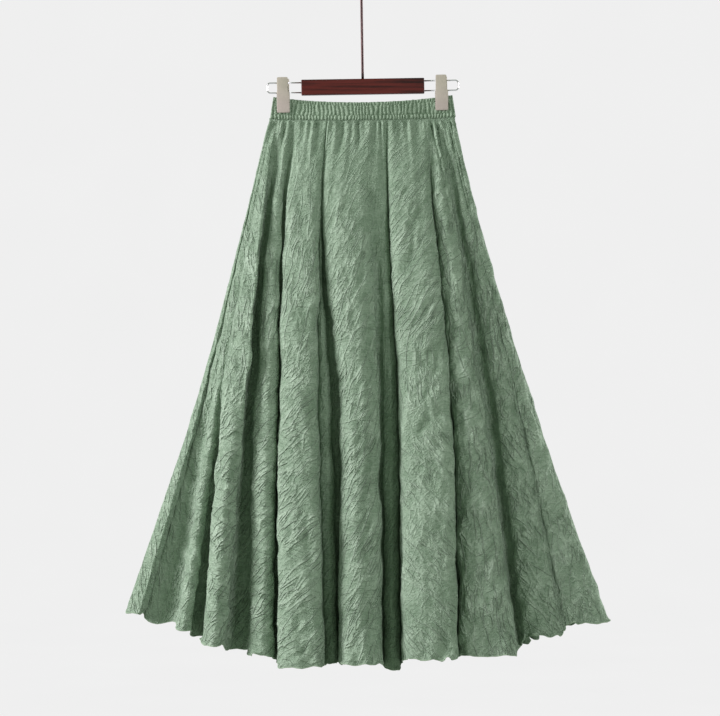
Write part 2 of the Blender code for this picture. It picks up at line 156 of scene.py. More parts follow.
# Main creases of the front, in mm: where each begins and ends, across and below the
# seam, its half width, and its height (below nought for a trough).
FRONT_CREASES = (
    # gathers under the waistband
    (-104, 2, -116, 54, 3.5, -3.2), (-81, 2, -82, 78, 5, 1.4), (-74, 2, -74, 26, 2.2, -1.6),
    (-55.5, 1, -61, 100, 2.3, -5.0), (-41, 2, -47, 22, 2.4, -2.2), (-29, 2, -39.5, 68, 3.4, -4.4),
    (-21, 2, -23.5, 22, 2, -2.4), (-8.4, 2, -6, 56, 2.2, -4.0), (2, 2, 2, 28, 2, -3.0),
    (15.4, 2, 15.4, 26, 2, -2.8), (26.5, 2, 25, 36, 2, -2.0), (30, 2, 30, 76, 2.4, 1.6),
    (37, 1, 41.5, 125, 2.6, -6.0), (51, 2, 52, 28, 2.2, -1.6), (64, 2, 67, 84, 3.5, -1.6),
    (86, 2, 90, 34, 3, -1.2), (-128, 2, -131, 64, 3, -2.6),
    # pleats that fan from the right clip
    (103.5, 2, 108, 26, 2, -2.2), (108, 2, 134, 116, 2.2, -4.0), (112, 8, 132, 96, 2.4, 2.0),
    (116, 2, 140, 116, 2.2, -3.8), (122.5, 2, 147, 124, 2.2, -4.0), (126, 12, 146, 110, 2.4, 2.0),
    (137.5, 2, 151, 100, 2.2, -4.0), (122, 60, 136, 150, 2.6, -3.2), (133, 10, 150, 80, 2.4, 2.0),
    (138, 60, 160, 180, 2.6, -3.4), (146, 40, 168, 150, 2.6, -3.2), (128, 90, 148, 190, 3, 2.0),
    (143, 130, 163, 210, 2.8, -2.8), (152, 120, 172, 230, 2.8, 2.0),
    # the left edge and the bright ridge
    (-205, 304, -227, 336, 3, 1.8), (-176, 261, -187, 285, 3, 1.4), (-176, 313, -190, 352, 3, 2.0),
    (-216, 380, -232, 412, 3, 1.8), (-219, 345, -238, 388, 3, -1.6), (-192, 393, -205, 444, 3, 2.0),
    (-195, 356, -202, 399, 3, 1.6), (-198, 447, -210, 475, 3, 1.6), (-170, 225, -181, 250, 3, 1.4),
    (-233, 345, -247, 377, 3, -1.6), (-212, 402, -214, 470, 4, 1.4), (-229, 507, -245, 531, 4, 1.6),
    (-238, 542, -246, 571, 4, 1.4), (-251, 634, -262, 666, 4, 1.4), (-260, 674, -271, 701, 4, 1.4),
    (-224, 655, -233, 690, 4, 1.6), (-212, 690, -226, 712, 3, 1.6), (-216, 722, -232, 742, 4, 1.6),
    (-222, 752, -236, 776, 4, 1.4), (-319, 674, -335, 701, 5, 1.2),
    # the slim ridge
    (-136, 225, -143, 261, 3, 1.6), (-135, 277, -144, 304, 3, 1.4), (-138, 383, -151, 398, 3, 1.8),
    (-133, 404, -154, 429, 3, 1.8), (-136, 447, -151, 472, 3, 2.0), (-141, 610, -159, 624, 3, 1.8),
    (-141, 634, -159, 655, 3, 1.6), (-143, 663, -160, 686, 3, 1.8), (-148, 682, -158, 699, 3, 1.6),
    (-157, 753, -165, 777, 3, 1.6), (-149, 545, -157, 572, 4, 1.4),
    # the broad ridge
    (-108, 250, -117, 285, 3, 1.6), (-103, 320, -111, 342, 3, 1.4), (-119, 309, -121, 356, 3, 1.6),
    (-101, 450, -125, 474, 3, 2.0), (-111, 447, -127, 464, 2.6, 1.6),
    (-119, 531, -121, 566, 3, -1.8),
    (-94, 551, -113, 602, 4, 1.8), (-94, 602, -111, 628, 3, 1.8), (-89, 621, -106, 651, 3, 1.8),
    (-79, 631, -102, 659, 3, 2.2), (-84, 707, -111, 724, 3, 1.8), (-83, 721, -111, 747, 3, 2.2),
    (-92, 734, -119, 761, 3, 1.8), (-89, 747, -114, 772, 3, 2.2), (-90, 764, -116, 785, 3, 2.0),
    (-84, 780, -102, 805, 3, 1.8), (-114, 790, -117, 824, 4, 1.6), (-110, 100, -116, 230, 6, 1.4),
    # the centre
    (-19, 290, -25, 334, 3, 1.8), (2, 386, -14, 409, 3, 2.0), (-17, 299, -34, 318, 3, 1.6),
    (-24, 169, -41, 191, 3, 1.6), (-33, 172, -22, 190, 3, 1.4), (-14, 161, -17, 175, 3, 1.2),
    (0, 628, -3, 651, 3, -1.8), (11, 624, 8, 659, 3, -1.6), (-6, 721, 16, 715, 3, 1.6),
    (-24, 734, 6, 745, 3, 1.6), (-4, 748, 30, 756, 3, 1.8), (-17, 761, 18, 766, 3, 1.6),
    (-8, 697, 22, 710, 3, 1.6), (-14, 824, -1, 845, 4, 1.4), (-30, 40, -46, 240, 6, 1.6),
    (-12, 470, -16, 560, 5, 1.2), (8, 500, 12, 600, 5, -1.2),
    # the widest ridge
    (73, 106, 59, 125, 3, -2.0), (83, 88, 64, 96, 3, 1.4), (76, 126, 68, 152, 3, 1.6),
    (86, 134, 76, 161, 3, 1.6), (90, 161, 81, 198, 3, 1.8), (76, 186, 68, 218, 3, 1.8),
    (89, 177, 83, 209, 3, 1.4), (71, 164, 62, 177, 3, 1.4), (75, 234, 64, 269, 3, 2.2),
    (68, 240, 62, 264, 2.6, 1.6), (102, 275, 67, 336, 3, 2.0), (95, 331, 76, 353, 3, 2.0),
    (106, 345, 98, 367, 3, 1.6), (94, 402, 81, 421, 3, 1.6), (119, 398, 108, 417, 3, 1.6),
    (110, 431, 102, 447, 3, 1.4), (94, 482, 84, 496, 3, -2.0), (92, 486, 125, 532, 3, 2.0),
    (100, 442, 114, 458, 3, 1.6), (121, 466, 138, 485, 3, 1.6), (125, 491, 140, 520, 3, -2.0),
    (81, 613, 114, 644, 3, 2.2), (125, 602, 146, 624, 3, 1.8), (130, 618, 146, 637, 2.6, 1.6),
    (78, 644, 92, 667, 3, 1.6), (125, 672, 146, 699, 3, 1.8), (100, 745, 121, 770, 3, -1.8),
    (100, 804, 125, 826, 3, 1.8), (111, 691, 121, 715, 3, 1.6), (92, 696, 113, 723, 3, 1.6),
    (113, 20, 100, 180, 6, -1.6), (98, 470, 90, 800, 9, 1.8),
    # the creased ridge and the right side
    (153, 336, 165, 355, 3, 1.8), (144, 353, 156, 372, 3, 1.4), (159, 396, 173, 423, 3, 2.0),
    (172, 421, 184, 456, 3, 2.0), (173, 459, 186, 494, 3, 1.8), (184, 491, 199, 520, 3, 1.8),
    (146, 442, 164, 477, 3, 1.8), (160, 482, 170, 501, 3, 1.6), (173, 526, 194, 567, 3, 2.0),
    (189, 531, 208, 570, 3, 1.8), (167, 602, 189, 642, 3, 1.8), (178, 586, 203, 642, 3, 1.8),
    (173, 658, 189, 691, 3, 1.8), (186, 696, 222, 750, 3, 2.2), (199, 697, 221, 734, 3, 1.8),
    (205, 739, 229, 772, 3, 2.0), (199, 766, 224, 812, 3, 1.8), (215, 767, 240, 806, 3, 1.6),
    (157, 721, 170, 777, 4, 1.6), (230, 339, 243, 364, 3, -1.6), (253, 686, 270, 721, 2.8, 3.0),
    (284, 766, 299, 796, 2.8, 2.6), (289, 697, 318, 739, 2.8, 3.0), (316, 691, 334, 726, 2.8, 3.2),
    (335, 720, 351, 761, 2.8, 3.0), (262, 542, 292, 563, 3, 2.4), (303, 634, 324, 674, 3, 2.8),
    (348, 737, 370, 758, 3, 2.6), (280, 610, 290, 660, 3.4, 2.4),
)

# The back's, seen from the front as well.
BACK_CREASES = (
    (-120, 2, -121, 50, 4, -2.4), (-95, 2, -96, 30, 4, -1.6), (-62, 2, -66, 56, 4, -2.6),
    (-30, 2, -30, 28, 4, -1.6), (-12, 2, -8, 60, 4, -2.8), (22, 2, 24, 34, 4, -1.8),
    (48, 2, 52, 58, 4, -2.6), (80, 2, 84, 30, 4, -1.8), (104, 2, 114, 60, 4, -2.4),
    (-232, 480, -214, 440, 4, 1.8), (-205, 520, -190, 480, 4, 1.8), (-214, 600, -196, 566, 4, 1.8),
    (-236, 690, -214, 660, 4, 1.8), (-222, 745, -200, 722, 4, 1.6), (-160, 260, -150, 222, 4, 1.6),
    (-132, 340, -120, 300, 4, 1.8), (-140, 420, -124, 392, 4, 1.6), (-118, 540, -104, 505, 4, 1.8),
    (-112, 640, -96, 612, 4, 1.8), (-118, 750, -100, 722, 4, 1.8), (-60, 200, -48, 150, 4, 1.8),
    (-70, 330, -44, 296, 4, 2.0), (-56, 430, -36, 396, 4, 2.0), (-62, 520, -28, 492, 4, 2.2),
    (-50, 590, -30, 560, 4, 1.8), (-58, 690, -20, 668, 4, 2.2), (-64, 745, -26, 722, 4, 2.0),
    (-50, 812, -24, 790, 4, 1.8), (20, 230, 34, 280, 4, 1.6), (38, 400, 56, 440, 4, 1.8),
    (30, 560, 58, 590, 4, 1.8), (34, 700, 66, 712, 4, 1.6), (84, 160, 98, 220, 4, 1.8),
    (96, 330, 128, 380, 4, 2.2), (110, 440, 138, 476, 4, 2.0), (112, 560, 150, 610, 4, 2.2),
    (120, 660, 156, 690, 4, 2.0), (118, 740, 150, 782, 4, 2.0), (180, 430, 196, 476, 4, 1.8),
    (188, 560, 210, 606, 4, 1.8), (206, 690, 232, 730, 4, 1.8), (250, 620, 276, 664, 4, 1.8),
    (262, 700, 296, 736, 4, 1.8), (-320, 720, -300, 690, 4, 1.6), (-284, 600, -270, 560, 4, 1.6),
)


# ---------------- helpers

def mix(a, b, share):
    return a + (b - a) * share


def smooth_step(low, high, value):
    share = np.clip((value - low) / (high - low), 0, 1)
    return share * share * (3 - 2 * share)


def lattice(i, j, seed):
    """A repeatable number from 0 to 1 for each whole-numbered place."""
    value = np.sin(i * 127.1 + j * 311.7 + seed * 74.7) * 43758.5453
    return value - np.floor(value)


def noise(a, b, seed=0):
    """Smooth unevenness from -1 to 1, about one swell to a unit."""
    i, j = np.floor(a), np.floor(b)
    s, t = a - i, b - j

    def corner(di, dj):
        turn = 2 * math.pi * lattice(i + di, j + dj, seed)
        return np.cos(turn) * (s - di) + np.sin(turn) * (t - dj)

    ease_s, ease_t = (w * w * w * (w * (w * 6 - 15) + 10) for w in (s, t))
    near = mix(corner(0, 0), corner(1, 0), ease_s)
    far = mix(corner(0, 1), corner(1, 1), ease_s)
    return 1.5 * mix(near, far, ease_t)


def ripple(x, length, seed):
    """Unevenness along one direction, about one swell to `length`."""
    return noise(x / length, x * 0, seed)


def crinkles(a, b, lean, length, width, seed):
    """Crests of crinkled cloth, from 0 to 1, that run `lean` degrees from level."""
    turn = math.radians(lean)
    along = a * math.cos(turn) + b * math.sin(turn)
    across = b * math.cos(turn) - a * math.sin(turn)
    return 1 - np.abs(noise(along / length, across / width, seed)) * 1.7


def along_fold(drop, places):
    """A smooth line through a fold's places at the four heights, straight past them."""
    slopes = [(places[i + 1] - places[i]) / (DROPS[i + 1] - DROPS[i]) for i in range(3)]
    if drop <= DROPS[0]:
        return places[0] + slopes[0] * (drop - DROPS[0])
    if drop >= DROPS[-1]:
        return places[-1] + slopes[-1] * (drop - DROPS[-1])
    leans = [slopes[0], mix(slopes[0], slopes[1], 0.5), mix(slopes[1], slopes[2], 0.5), slopes[2]]
    i = max(k for k in range(3) if drop >= DROPS[k])
    span = DROPS[i + 1] - DROPS[i]
    t = (drop - DROPS[i]) / span
    return (places[i] * (1 + 2 * t) * (1 - t) ** 2 + leans[i] * span * t * (1 - t) ** 2
            + places[i + 1] * t * t * (3 - 2 * t) + leans[i + 1] * span * t * t * (t - 1))


def swell(drop, start, power):
    start = max(start, STRAIGHT_BELOW_SEAM)
    if drop <= start:
        return 0.0
    return ((drop - start) / (HEM_LEVEL - start)) ** power


# ---------------- the skirt's form

def seam_z(x):
    share = (x - SKIRT_X) / WAIST_HALF
    return SEAM_Z + SEAM_RISE_ENDS * share * share + SEAM_TILT * share


def mouth(x):
    """Half the gap between front and back at the waist, closed at the clips."""
    share = np.minimum(np.abs(x - SKIRT_X) / (CLIP_XS["right"] - 0.012), 1.0)
    return SEAM_GAP / 2 + MOUTH_HALF * (1 - share * share) ** 1.5


def fold_edge(fold, edge, drop):
    return along_fold(drop, [place * MM for place in fold.edges[edge::2]])


def side_x(drop, side):
    return fold_edge(FRONT_FOLDS[0], 0, drop) if side < 0 else fold_edge(FRONT_FOLDS[-1], 1, drop)


def front_edges(drop):
    return [(fold_edge(fold, 0, drop), fold_edge(fold, 1, drop)) for fold in FRONT_FOLDS]


def back_edges(drop):
    left, right = side_x(drop, -1), side_x(drop, 1)
    middle, half = (left + right) / 2, (right - left) / 2
    fall = min(drop / DROPS[-1], 1.0)
    return [tuple(middle + half * mix(fold.edges[i], fold.edges[i + 2], fall) for i in (0, 1))
            for fold in BACK_FOLDS]


def section(drop, edges, folds):
    """Control points (x, depth) of a level section: each crest with its two corners and
    the walls under them, and each valley's two bends. Crests lean over their valleys."""
    grown = swell(drop, 0.0, FLARE_POWER)
    crests = [fold.crest * MM * grown + 0.0035 * grown * float(noise(drop / 0.075, 3.7 * i, 31))
              for i, fold in enumerate(folds)]
    wander = [FOLD_WANDER * smooth_step(0.05, 0.3, drop) * float(
              noise(drop / 0.060, 5.3 * i, 23) + 0.4 * noise(drop / 0.022, 5.3 * i, 24))
              for i in range(len(edges) - 1)] + [0.0]
    edges = [(left + (wander[i - 1] if i else 0.0), right + wander[i])
             for i, (left, right) in enumerate(edges)]
    floors = []
    for i in range(len(edges) - 1):
        full = ((folds[i].crest + folds[i + 1].crest) / 2 - folds[i].valley) * MM
        sink = full * swell(drop, folds[i].begins * MM, VALLEY_POWER)
        floors.append((crests[i] + crests[i + 1]) / 2 - sink)

    def wall(crest, floor, width):
        return floor + min((crest - floor) / 2, VALLEY_ROUND * width)

    points = [(side_x(drop, -1), 0.0)]
    for i, (left, right) in enumerate(edges):
        crest, last = crests[i], i == len(edges) - 1
        before = left - edges[i - 1][1] if i else 0.0
        after = edges[i + 1][0] - right if not last else 0.0
        deep_before = crest - floors[i - 1] if i else crest
        deep_after = crest - floors[i] if not last else crest
        lean_left = (min(OVERHANG_SHARE * before, OVERHANG_MOST)
                     * smooth_step(0.004, 0.025, deep_before))
        lean_right = (min(OVERHANG_SHARE * after, OVERHANG_MOST)
                      * smooth_step(0.004, 0.025, deep_after))
        back = folds[i].back * MM * grown
        if back < 0:        # it juts out high up and lies back lower down
            back = (folds[i].back * MM * grown ** 0.4 * smooth_step(0.02, 0.2, drop)
                    * mix(1.0, -0.5, smooth_step(0.34, 0.62, drop)))
        crisp = mix(0.4, 1.0, min(1.6 * grown, 1.0))
        bend_left, bend_right = (crisp * min(most, share * (right - left))
                                 for most, share in (CORNER_LEFT, CORNER_RIGHT))
        if not i:
            bend_left *= SIDE_CORNER
        bend_right = min(max(bend_right + 1.3 * back, 0.0025 * crisp), 0.5 * (right - left))
        sink_left = min(0.9 * bend_left, 0.45 * deep_before)
        sink_right = min(0.8 * min(bend_right, CORNER_RIGHT[0]), 0.45 * deep_after)
        points += [
            (left, wall(crest, floors[i - 1], before) if i else crest / 2),
            (left - lean_left, crest - sink_left),
            (left - lean_left + bend_left, crest),
            (right + lean_right - bend_right, crest - 0.25 * back),
            (right + lean_right, crest - back - sink_right),
            (right, wall(crest - back, floors[i], after) if not last else crest / 2)]
        if not last:
            inset = VALLEY_INSET * after
            points += [(right + inset, floors[i]),
                       (edges[i + 1][0] - min(inset, VALLEY_FOOT), floors[i])]
    points.append((side_x(drop, 1), 0.0))
    return points


def per_control(folds, on_side, on_fold, in_valley):
    """One number for each control point of a section."""
    line = [on_side(0)]
    for i in range(len(folds)):
        line += on_fold(i)
        if i + 1 < len(folds):
            line += in_valley(i)
    return np.array(line + [on_side(-1)])


def hem_drops(folds):
    drops = [SIDE_HEM_DROPS[0]] + [fold.drop for fold in folds] + [SIDE_HEM_DROPS[1]]
    return per_control(
        folds, lambda end: SIDE_HEM_DROPS[end],
        lambda i: [(drops[i] + drops[i + 1]) / 2] + [drops[i + 1]] * 4
                  + [(drops[i + 1] + drops[i + 2]) / 2],
        lambda i: [(drops[i + 1] + drops[i + 2]) / 2 + VALLEY_HEM_DROP] * 2) * MM


def openness(folds):
    """1 where a crest faces outwards, next to nothing down in a valley."""
    return per_control(folds, lambda end: 0.7,
                       lambda i: [0.3, 0.8, 1, 1, 0.8, 0.3], lambda i: [0.12] * 2)


def by_fold(folds, value):
    return per_control(folds, lambda end: value(folds[end]),
                       lambda i: [value(folds[i])] * 6,
                       lambda i: [value(folds[i]), value(folds[i + 1])])


LEVELS = np.arange(0.0, 0.901, 0.003)


class Panel:
    """The smooth form of a panel: its points, row by row from the hem to the seam."""

    def __init__(self, folds, edges_at, columns, rows, forward):
        self.folds, self.forward = folds, forward
        self.controls = CONTROLS_PER_FOLD * len(folds)
        sections = np.array([section(drop, edges_at(drop), folds) for drop in LEVELS])
        self.xs, self.depths = sections[:, :, 0], sections[:, :, 1]
        self.hem = hem_drops(folds)
        steps = 1 - 0.68 * np.exp(-np.arange(rows) / 9.0)     # closest at the hem
        self.fall = 1 - np.concatenate([[0.0], np.cumsum(steps)]) / steps.sum()
        places = self.stations(columns)
        self.places = places[::-1] if forward > 0 else places
        shape = (rows + 1, columns + 1)
        self.points = np.zeros((*shape, 3))
        self.drop = np.zeros(shape)
        for column, place in enumerate(self.places):
            self.points[:, column], self.drop[:, column] = self.line(place, self.fall)
        self.close_sides()
        widths = np.linalg.norm(np.diff(self.points, axis=1), axis=2)
        self.across = np.concatenate([np.zeros((rows + 1, 1)), np.cumsum(widths, 1)], 1)
        self.across -= self.across[:, columns // 2][:, None]
        if forward > 0:
            self.across *= -1
        falls = np.linalg.norm(np.diff(self.points, axis=0), axis=2)[::-1]
        down = np.concatenate([np.zeros((1, columns + 1)), np.cumsum(falls, 0)], 0)[::-1]
        self.down = np.repeat(down.mean(1)[:, None], columns + 1, 1)
        self.open = self.spread(openness(folds))

    def shares(self, place):
        k = math.floor(place)
        t = place - k
        weights = ((1 - t) ** 3 / 6, (3 * t ** 3 - 6 * t * t + 4) / 6,
                   (-3 * t ** 3 + 3 * t * t + 3 * t + 1) / 6, t ** 3 / 6)
        return [(min(max(k + i - 1, 0), self.controls - 1), w) for i, w in enumerate(weights)]

    def spread(self, line):
        """A number for each control point, spread over the whole panel."""
        row = np.array([sum(line[i] * w for i, w in self.shares(p)) for p in self.places])
        return np.repeat(row[None, :], len(self.fall), 0)

    def line(self, place, fall):
        """The points of one lengthwise line of the cloth, and their drops."""
        shares = self.shares(place)
        waist_x = sum(self.xs[0, i] * w for i, w in shares) + SKIRT_X
        hem_drop = sum(self.hem[i] * w for i, w in shares)
        z = mix(seam_z(waist_x) + SEWN_IN, SEAM_Z - hem_drop, fall)
        drop = np.maximum(SEAM_Z - z, 0.0)
        x = sum(np.interp(drop, LEVELS, self.xs[:, i]) * w for i, w in shares) + SKIRT_X
        depth = sum(np.interp(drop, LEVELS, self.depths[:, i]) * w for i, w in shares)
        opened = (mouth(waist_x) - SEAM_GAP / 2) * np.exp(-drop / 0.300)
        y = self.forward * ((SEAM_GAP + CLOTH) / 2 + opened + depth)
        return np.stack([x, y, z], 1), drop

    def stations(self, columns):
        """Places of the lengthwise lines: closest on the crests and at the corners."""
        fine = np.linspace(-1, self.controls, 1600)
        hem = np.array([self.line(p, np.array([1.0, 0.0]))[0] for p in fine])
        shown = openness(self.folds)
        face = np.array([sum(shown[i] * w for i, w in self.shares(p)) for p in fine])
        steps = np.diff(hem[:, 0, :2], axis=0)
        lengths = np.linalg.norm(steps, axis=1)
        turns = np.zeros(len(lengths))
        heading = np.unwrap(np.arctan2(steps[:, 1], steps[:, 0]))
        live = lengths > 1e-7
        turns[1:] = np.where(live[1:] & live[:-1], np.abs(np.diff(heading)), 0)
        hems = lengths * mix(0.35, 1.0, (face[1:] + face[:-1]) / 2)
        waists = np.abs(np.diff(hem[:, 1, 0]))
        run = (0.72 * hems / hems.sum() + 0.14 * waists / waists.sum()
               + 0.14 * turns / turns.sum())
        run = np.concatenate([[0.0], np.cumsum(run)])
        return np.interp(np.linspace(0, 1, columns + 1), run / run[-1], fine)

    def close_sides(self):
        """Front and back lie on each other at the side seams, and turn to meet lower down."""
        for end, inner in ((0, 1), (-1, -2)):
            span = self.points[:, inner] - self.points[:, end]
            length = np.maximum(np.linalg.norm(span[:, :2], axis=1), 1e-9)
            lying = np.abs(span[:, 0]) / length
            self.points[:, end, 1] = self.forward * (SEAM_GAP + CLOTH * lying) / 2

    def normals(self):
        side = np.gradient(self.points, axis=1)
        up = np.gradient(self.points, axis=0)
        outward = np.cross(side, up)
        return outward / np.maximum(np.linalg.norm(outward, axis=2), 1e-12)[:, :, None]


def crease_relief(panel, creases):
    """The listed creases, each a soft ridge or trough that tapers at its ends."""
    x, drop = panel.points[:, :, 0] - SKIRT_X, panel.drop
    relief = np.zeros(x.shape)
    wobble = 0.0012 * noise(x / 0.012, drop / 0.012, 5)
    for x1, drop1, x2, drop2, width, height in creases:
        ax, ay, bx, by = (value * MM for value in (x1, drop1, x2, drop2))
        dx, dy = bx - ax, by - ay
        length = math.hypot(dx, dy)
        t = ((x - ax) * dx + (drop - ay) * dy) / length ** 2
        off = np.abs(((x - ax) * dy - (drop - ay) * dx) / length + wobble)
        ends = smooth_step(-0.12, 0.3, t) * (1 - smooth_step(0.7, 1.12, t))
        if drop1 <= 2:      # a gather: strongest at the seam
            ends = smooth_step(-0.1, 0.02, t) * (1 - smooth_step(0.1, 1.1, t))
        relief += height * MM * ends * np.exp(-(off / (width * MM)) ** 1.5)
    return relief


LEANS = (20, 40, 60, 80, 100, 120, 140, 160)


def lean_of(panel):
    """The way the crinkles run everywhere, in degrees from level."""
    return mix(panel.spread(by_fold(panel.folds, lambda f: f.leans[0])),
               panel.spread(by_fold(panel.folds, lambda f: f.leans[1])),
               smooth_step(0.28, 0.50, panel.drop))


def crush_of(panel):
    """How strongly the cloth is crinkled: least where it leaves the waistband."""
    strength = panel.spread(by_fold(panel.folds, lambda f: f.crinkle))
    return strength * mix(0.45, 1.0, smooth_step(0.02, 0.28, panel.drop))


def crinkle_relief(panel, seed):
    """Crushed-cotton crinkles over the whole cloth, which run each ridge's own way."""
    a = panel.across + 0.005 * noise(panel.across / 0.035, panel.down / 0.035, seed)
    b = -panel.down + 0.005 * noise(panel.across / 0.035, panel.down / 0.035, seed + 1)
    leaning = lean_of(panel)
    relief = np.zeros(a.shape)
    for k, lean in enumerate(LEANS):
        share = np.clip(1 - np.abs(leaning - lean) / 25, 0, 1)
        fine = crinkles(a, b, lean, 0.055, 0.0135, seed + 3 * k)
        cross = crinkles(a, b, lean - 62, 0.040, 0.0190, seed + 3 * k + 1)
        relief += share * (0.75 * fine + 0.35 * cross)
    patches = 0.35 + 0.65 * smooth_step(-0.5, 0.5, noise(a / 0.055, b / 0.075, seed + 40))
    lengthwise = noise(panel.across / 0.016, panel.down / 0.16, seed + 50)
    crushed = crush_of(panel)
    return (CRINKLE * relief * patches + LENGTHWISE * lengthwise
            + SWELLING * noise(a / 0.030, b / 0.050, seed + 60)) * crushed


def gather_relief(panel, seed):
    """Small gathers where the cloth is drawn on to the waistband."""
    x = panel.points[-1, :, 0][None, :] - SKIRT_X
    wave = np.sin(2 * math.pi * (x / GATHER[1] + 0.9 * ripple(x, 0.03, seed)))
    fine = np.sin(2 * math.pi * (x / FINE_GATHER[1] + 0.8 * ripple(x, 0.02, seed + 1)))
    reach = 0.036 + 0.024 * ripple(x, 0.022, seed + 2)
    return (GATHER[0] * wave * np.exp(-panel.drop / reach)
            + FINE_GATHER[0] * fine * np.exp(-panel.drop / 0.013))


def hem_shape(panel, seed):
    """The overlocked hem flutters, and its last centimetre curls out and in: how far it
    stands out, and how far it drops."""
    above = panel.down.max() - panel.down
    u = panel.across        # along the hem

    def wave(length, number):
        return ripple(u, length, seed + number)

    def fading(size, number, reach):
        return size[0] * wave(size[1], number) * np.exp(-above / reach)

    flutter = fading(FLUTTER, 0, 0.026) + fading(FINE_FLUTTER, 1, 0.008)
    drop = fading(SCALLOP, 2, 0.036) + fading(FINE_SCALLOP, 3, 0.009)
    lip = 0.0105 + 0.0040 * wave(0.031, 4)
    swing = wave(0.021, 5) + 0.22 * wave(0.009, 6)
    turn = panel.open * (CURL_OUT * smooth_step(0.05, 0.70, swing)
                         - CURL_IN * smooth_step(0.10, 0.80, -swing))
    turn = np.where(np.abs(turn) < 1e-3, 1e-3, turn)
    past = np.maximum(lip - above, 0.0)
    bent = turn * past / lip
    curl = lip * (1 - np.cos(bent)) / turn
    rise = past - lip * np.sin(bent) / turn
    return flutter * mix(0.4, 1.0, panel.open) + curl, drop - rise


def dress(panel, creases, seed):
    """The crinkled cloth's points, and how far each stands out of the smooth form,
    which the finish paints as highlight and shade.
    """
    shown = panel.open * smooth_step(0.0, 0.012, panel.drop)
    ends = np.arange(panel.points.shape[1])
    from_side = np.minimum(ends, ends[::-1])[None, :]
    calm = np.clip(from_side / 6.0, 0, 1)
    relief = (crinkle_relief(panel, seed) * mix(0.25, 1.0, shown)
              + crease_relief(panel, creases) * smooth_step(0.35, 0.9, panel.open)
              + gather_relief(panel, seed))
    relief *= smooth_step(0.0, 0.006, panel.drop)
    out, down = hem_shape(panel, seed + 80)
    points = panel.points + panel.normals() * ((relief + out) * calm)[:, :, None]
    points[:, :, 2] -= down * calm
    return points, (relief - relief.mean()) / 0.003


# ---------------- making the pieces

def add_object(name, data):
    obj = bpy.data.objects.new(name, data)
    bpy.context.scene.collection.objects.link(obj)
    return obj


def new_object(name, bm, material, smooth=True):
    mesh = bpy.data.meshes.new(name)
    bm.to_mesh(mesh)
    bm.free()
    mesh.materials.append(material)
    if smooth:
        mesh.shade_smooth()
    return add_object(name, mesh)


def new_grid(columns, rows):
    bm = bmesh.new()
    bmesh.ops.create_grid(bm, x_segments=columns, y_segments=rows, size=0.5)
    return bm


def round_rims(obj, width):
    bevel = obj.modifiers.new("rims", "BEVEL")
    bevel.affect, bevel.segments, bevel.profile, bevel.material = "EDGES", 2, 0.5, -1
    bevel.width, bevel.limit_method, bevel.angle_limit = width, "ANGLE", math.radians(60)
    return obj


def cloth_sheet(name, points, across, down, values, material, wall):
    """A grid of cloth moved to `points`, with its own lengths as its UV map and with
    `values` for its finish, such as how far it is raised, which the finish paints as
    highlight and shade."""
    bm = new_grid(points.shape[1] - 1, points.shape[0] - 1)
    for vert, place in zip(bm.verts, points.reshape(-1, 3)):
        vert.co = place
    for edge in bm.edges:
        if edge.is_boundary:
            edge.smooth = False
    obj = new_object(name, bm, material)
    mesh = obj.data
    corners = np.zeros(len(mesh.loops), dtype=np.int32)
    mesh.loops.foreach_get("vertex_index", corners)
    lengths = np.stack([across.reshape(-1), -down.reshape(-1)], 1)[corners]
    layer = mesh.uv_layers.new(name="cloth") if not mesh.uv_layers else mesh.uv_layers[0]
    layer.data.foreach_set("uv", lengths.astype(np.float32).reshape(-1))
    for label, value in values.items():
        kept = mesh.attributes.new(label, "FLOAT", "POINT")
        kept.data.foreach_set("value", value.astype(np.float32).reshape(-1))
    thick = obj.modifiers.new("wall", "SOLIDIFY")
    thick.thickness = wall
    thick.offset = 0.0
    return obj


def casing(name, points, across, around, raised, material):
    """A closed body from a grid whose first and last rows are one, with its ends filled."""
    bm = new_grid(points.shape[1] - 1, points.shape[0] - 1)
    lengths = np.stack([across.reshape(-1), around.reshape(-1)], 1)
    layer = bm.loops.layers.uv.verify()
    for face in bm.faces:
        for loop in face.loops:
            loop[layer].uv = lengths[loop.vert.index]
    high = bm.verts.layers.float.new("raised")
    for vert, place, value in zip(bm.verts, points.reshape(-1, 3), raised.reshape(-1)):
        vert.co, vert[high] = place, value
    bmesh.ops.remove_doubles(bm, verts=bm.verts, dist=1e-6)
    bmesh.ops.holes_fill(bm, edges=[e for e in bm.edges if e.is_boundary], sides=0)
    bmesh.ops.triangulate(bm, faces=[f for f in bm.faces if len(f.verts) > 4])
    bmesh.ops.recalc_face_normals(bm, faces=bm.faces)
    return new_object(name, bm, material)


def tube(name, route, radii, sides, material):
    """A round tube: one ring, drawn out along a route with its own radius at each point."""
    bm = bmesh.new()
    ring, before, across = None, None, Vector((0.31, 0.95, 0.05))
    for k, centre in enumerate(route):
        ahead = (route[min(k + 1, len(route) - 1)] - route[max(k - 1, 0)]).normalized()
        across = (across - ahead * across.dot(ahead)).normalized()
        turn = Matrix((across, ahead.cross(across), ahead)).transposed().to_4x4()
        place = Matrix.Translation(centre) @ turn @ Matrix.Diagonal((radii[k],) * 3 + (1,))
        if ring is None:
            ring = bmesh.ops.create_circle(bm, segments=sides, radius=1.0, cap_ends=True,
                                           matrix=place)["verts"]
            edges = bm.edges[:]
        else:
            made = bmesh.ops.extrude_edge_only(bm, edges=edges)["geom"]
            ring = [v for v in made if isinstance(v, bmesh.types.BMVert)]
            edges = [e for e in made if isinstance(e, bmesh.types.BMEdge)
                     and set(e.verts) <= set(ring)]
            bmesh.ops.transform(bm, matrix=place @ before.inverted(), verts=ring)
        before = place
    bmesh.ops.contextual_create(bm, geom=edges)
    bmesh.ops.recalc_face_normals(bm, faces=bm.faces)
    return new_object(name, bm, material)


# ---------------- finishes

